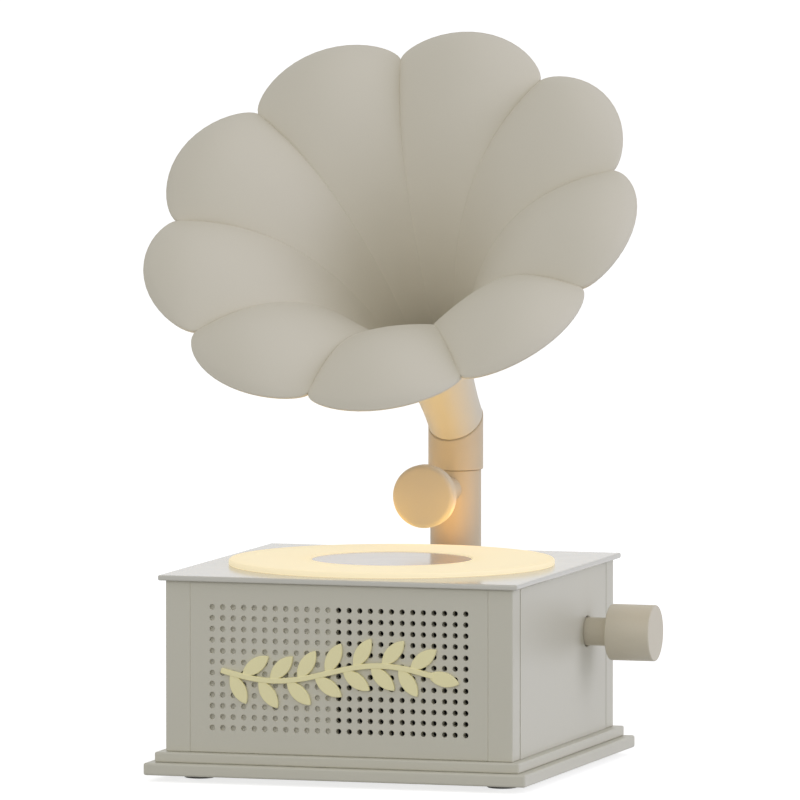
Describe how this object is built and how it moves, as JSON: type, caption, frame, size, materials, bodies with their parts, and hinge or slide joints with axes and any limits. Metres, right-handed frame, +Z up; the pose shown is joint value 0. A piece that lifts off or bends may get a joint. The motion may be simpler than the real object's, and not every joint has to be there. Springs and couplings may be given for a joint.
{
  "type": "gramophone-shaped table speaker",
  "caption": "Square table speaker with a glowing ring on top, a side knob and a petalled horn that swivels on a column behind the box.",
  "frame": {"origin": "on the table plane under the middle of the square box", "axes": "+X to the knob's side, +Y to the back where the column stands, +Z up"},
  "size_m": [0.2227, 0.2022, 0.326],
  "materials": {
    "box": "matt warm grey paint",
    "top": "satin off-white paint",
    "horn": "satin warm grey paint",
    "column": "satin warm grey paint",
    "knob": "matt warm grey paint",
    "ornament": "satin cream",
    "diffuser": "frosted translucent, lit from below",
    "disc": "glossy pale grey",
    "feet": "matt grey rubber",
    "soft_black": "soft matt",
    "cloth": "black acoustic cloth",
    "basket": "black",
    "cone": "pressed paper",
    "copper": "enamelled wire",
    "magnet": "ferrite",
    "steel": "zinc plated",
    "screws": "zinc plated",
    "brass": "turned",
    "white_plastic": "moulded",
    "black_plastic": "moulded",
    "board": "solder mask",
    "led": "phosphor",
    "cell": "shrink sleeve"
  },
  "bodies": {
    "base": {"foot_front_left": "feet", "foot_front_right": "feet", "foot_back_left": "feet", "foot_back_right": "feet", "lower_plinth": "box", "upper_plinth": "box", "base_screws": "screws", "post_front_left": "box", "post_front_right": "box", "post_back_left": "box", "post_back_right": "box", "front_grille": "box", "left_panel": "box", "right_panel": "box", "back_panel": "box", "top_plate": "top", "front_ornament": "ornament", "grille_cloth": "cloth", "speaker_gasket": "soft_black", "speaker_basket": "basket", "speaker_screws": "screws", "speaker_surround": "soft_black", "speaker_cone": "cone", "dust_cap": "cone", "voice_coil": "copper", "speaker_magnet": "magnet", "speaker_yoke": "steel", "light_tray": "white_plastic", "tray_screws": "screws", "led_board": "white_plastic", "led_chips": "led", "light_ring": "diffuser", "label_disc": "disc", "encoder_bracket": "white_plastic", "encoder_screws": "screws", "encoder_body": "board", "main_board": "board", "board_parts": "black_plastic", "board_standoffs": "brass", "board_screws": "screws", "usb_socket": "steel", "battery_cradle": "black_plastic", "battery_cell": "cell", "column_bracket": "box", "bracket_screws": "screws", "clamp_screw": "screws", "column_tube": "column", "sound_box_stem": "column", "sound_box": "column"},
    "knob": {"encoder_spindle": "steel", "knob_shaft": "knob", "side_knob": "knob"},
    "horn": {"horn_elbow": "column", "horn_bell": "horn"}
  },
  "joints": [
    {"name": "knob_turn", "type": "hinge", "parent": "base", "child": "knob", "pos_m": [0.08, 0.038, 0.06], "axis": [1, 0, 0], "continuous": true},
    {"name": "horn_swivel", "type": "hinge", "parent": "base", "child": "horn", "pos_m": [0, 0.0992, 0.126], "axis": [0, 0, 1], "continuous": true}
  ]
}
